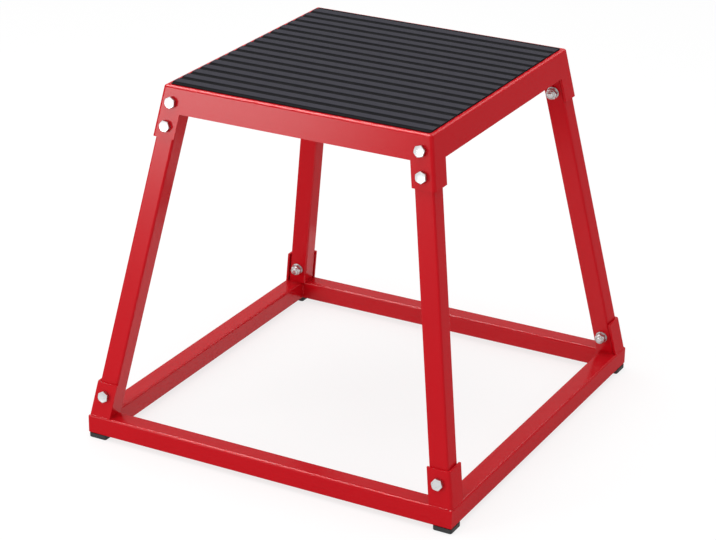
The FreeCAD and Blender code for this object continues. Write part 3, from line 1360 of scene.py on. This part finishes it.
@dataclass(frozen=True)
class SoftBox:
    """Oblong lamp that faces a point.

    Args:
        name: Name of the lamp.
        place: Where it stands.
        width: Width of its face.
        height: Height of its face.
        radiance: Brightness of that face.
        gloss_only: Whether it shows in reflections alone.
        aim: Point that it faces.
    """

    name: str
    place: Point
    width: float
    height: float
    radiance: float
    gloss_only: bool = False
    aim: Point = (0.0, 0.0, 0.25)

    def build(self) -> None:
        """Adds the lamp, turned towards its point."""
        light = bpy.data.lights.new(self.name, "AREA")
        light.shape = "RECTANGLE"
        light.size = self.width
        light.size_y = self.height
        light.energy = self.radiance * math.pi * self.width * self.height
        lamp = bpy.data.objects.new(self.name, light)
        lamp.location = self.place
        lamp.visible_camera = False
        lamp.visible_diffuse = not self.gloss_only
        towards = Vector(self.aim) - Vector(self.place)
        lamp.rotation_euler = towards.to_track_quat("-Z", "Y").to_euler()
        bpy.context.scene.collection.objects.link(lamp)


@dataclass(frozen=True)
class GlossCard(SoftBox):
    """Lamp that shows in reflections alone."""

    gloss_only: bool = True


@dataclass
class Studio:
    """White floor, soft lamps and the camera."""

    aim: Point = (-0.01062, -0.00568, 0.18422)
    azimuth: float = 28.141
    elevation: float = 23.018
    distance: float = 2.9803
    roll: float = 0.724
    lens: float = 118.354
    sensor: float = 36.0
    floor_half: float = 30.0
    floor_bounce: Colour = (0.85, 0.85, 0.85)
    floor_shade: Colour = (0.26, 0.26, 0.26)
    floor_glow: float = 0.76
    backdrop: Colour = (1.0, 1.0, 1.0)
    sky_strength: float = 0.72
    lamps: tuple[SoftBox, ...] = (
        SoftBox("front_left_lamp", (-1.6, -2.5, 0.8), width=1.0, height=0.8, radiance=7.2),
        SoftBox("overhead_lamp", (-0.15, -0.1, 2.4), width=1.8, height=1.8, radiance=2.2),
        GlossCard("sheen_card", (-1.6, -2.5, 0.36), width=0.9, height=0.2, radiance=39.4),
        GlossCard("rim_card", (-1.05, -0.05, 2.4), width=3.2, height=1.2, radiance=27.5),
        GlossCard("back_card", (0.3, 2.4, 1.95), width=1.8, height=0.7, radiance=5.25),
        GlossCard("back_left_card", (-1.5, 2.6, 1.05), width=2.4, height=1.2, radiance=1.0),
        GlossCard(
            "floor_card",
            (0.0, 0.1, 0.003),
            width=0.452,
            height=0.64,
            radiance=1.7,
            aim=(0.0, 0.1, 1.0),
        ),
    )

    def build(self) -> None:
        """Sets up the floor, the lamps, the sky and the camera."""
        bpy.context.scene.view_settings.view_transform = "Standard"
        self.build_floor()
        self.build_sky()
        for lamp in self.lamps:
            lamp.build()
        self.build_camera()

    def show_cards_on(self, coat: Material) -> None:
        """Lets the gloss cards show on the pieces that have a given coat, and on no others.

        Args:
            coat: Finish of those pieces.
        """
        coated = bpy.data.collections.new("coated_pieces")
        for piece in bpy.context.scene.objects:
            if piece.type == "MESH" and coat.name in piece.data.materials:
                coated.objects.link(piece)
        for card in self.lamps:
            if card.gloss_only:
                bpy.data.objects[card.name].light_linking.receiver_collection = coated

    @staticmethod
    def seen(sketch: NodeSketch) -> Socket:
        """Tells what is looked at from what only gives light.

        Args:
            sketch: Tree of the floor or the sky.

        Returns:
            1 for what the camera, a mirror or glass sees, and 0 for stray light.
        """
        rays = sketch.add("LightPath").outputs
        direct = sketch.math("MAXIMUM", rays["Is Camera Ray"], rays["Is Glossy Ray"])
        return sketch.math("MAXIMUM", direct, rays["Is Transmission Ray"])

    def build_floor(self) -> None:
        """Adds a wide white floor that keeps the box's shadow."""
        bm = bmesh.new()
        half = self.floor_half
        corners = [(-half, -half), (half, -half), (half, half), (-half, half)]
        bm.faces.new([bm.verts.new((x, y, 0.0)) for x, y in corners])
        mesh = bpy.data.meshes.new("studio_floor")
        bm.to_mesh(mesh)
        bm.free()
        material = bpy.data.materials.new("studio_floor_white")
        material.use_nodes = True
        sketch = NodeSketch(material.node_tree)
        seen = self.seen(sketch)
        grey = sketch.blend(seen, self.floor_bounce, self.floor_shade)
        matt = sketch.add("BsdfDiffuse", Color=grey)
        strength = sketch.math("MULTIPLY", seen, self.floor_glow)
        glow = sketch.add("Emission", Color=self.backdrop, Strength=strength)
        both = sketch.add("AddShader")
        sketch.feed(matt.outputs[0], both.inputs[0])
        sketch.feed(glow.outputs[0], both.inputs[1])
        sketch.add("OutputMaterial", Surface=both.outputs[0])
        mesh.materials.append(material)
        floor = bpy.data.objects.new("studio_floor", mesh)
        bpy.context.scene.collection.objects.link(floor)

    def build_sky(self) -> None:
        """Makes the surroundings white to look at and soft as light."""
        world = bpy.data.worlds.new("studio_sky")
        world.use_nodes = True
        sketch = NodeSketch(world.node_tree)
        strength = sketch.remap(self.seen(sketch), FULL_SPAN, (self.sky_strength, 1.0))
        sky = sketch.add("Background", Color=self.backdrop, Strength=strength)
        sketch.add("OutputWorld", Surface=sky.outputs[0])
        bpy.context.scene.world = world

    def build_camera(self) -> None:
        """Adds the camera at the photographed angle."""
        turn, rise = math.radians(self.azimuth), math.radians(self.elevation)
        reach = math.cos(rise)
        back = Vector((math.sin(turn) * reach, -math.cos(turn) * reach, math.sin(rise)))
        data = bpy.data.cameras.new("camera")
        data.sensor_width = self.sensor
        data.lens = self.lens
        camera = bpy.data.objects.new("camera", data)
        level = (-back).to_track_quat("-Z", "Y").to_matrix()
        tilted = level @ Matrix.Rotation(math.radians(self.roll), 3, "Z")
        place = Vector(self.aim) + back * self.distance
        camera.matrix_world = Matrix.Translation(place) @ tilted.to_4x4()
        bpy.context.scene.collection.objects.link(camera)
        bpy.context.scene.camera = camera


def main() -> None:
    """Builds the studio and every sub-assembly in order."""
    logging.basicConfig(level=logging.INFO, format="%(name)s: %(message)s")
    studio = Studio()
    studio.build()
    palette = Palette()
    sizes = FrameSizes.measure()
    SheetMetalTop(palette, sizes).build()
    TreadMat(palette).build()
    SplayedLegs(palette).build()
    BaseFrame(palette, sizes).build()
    for row in BoltRow:
        BoltSet(palette, sizes, row).build()
    studio.show_cards_on(palette.powder_coat)


if __name__ == "__main__":
    main()
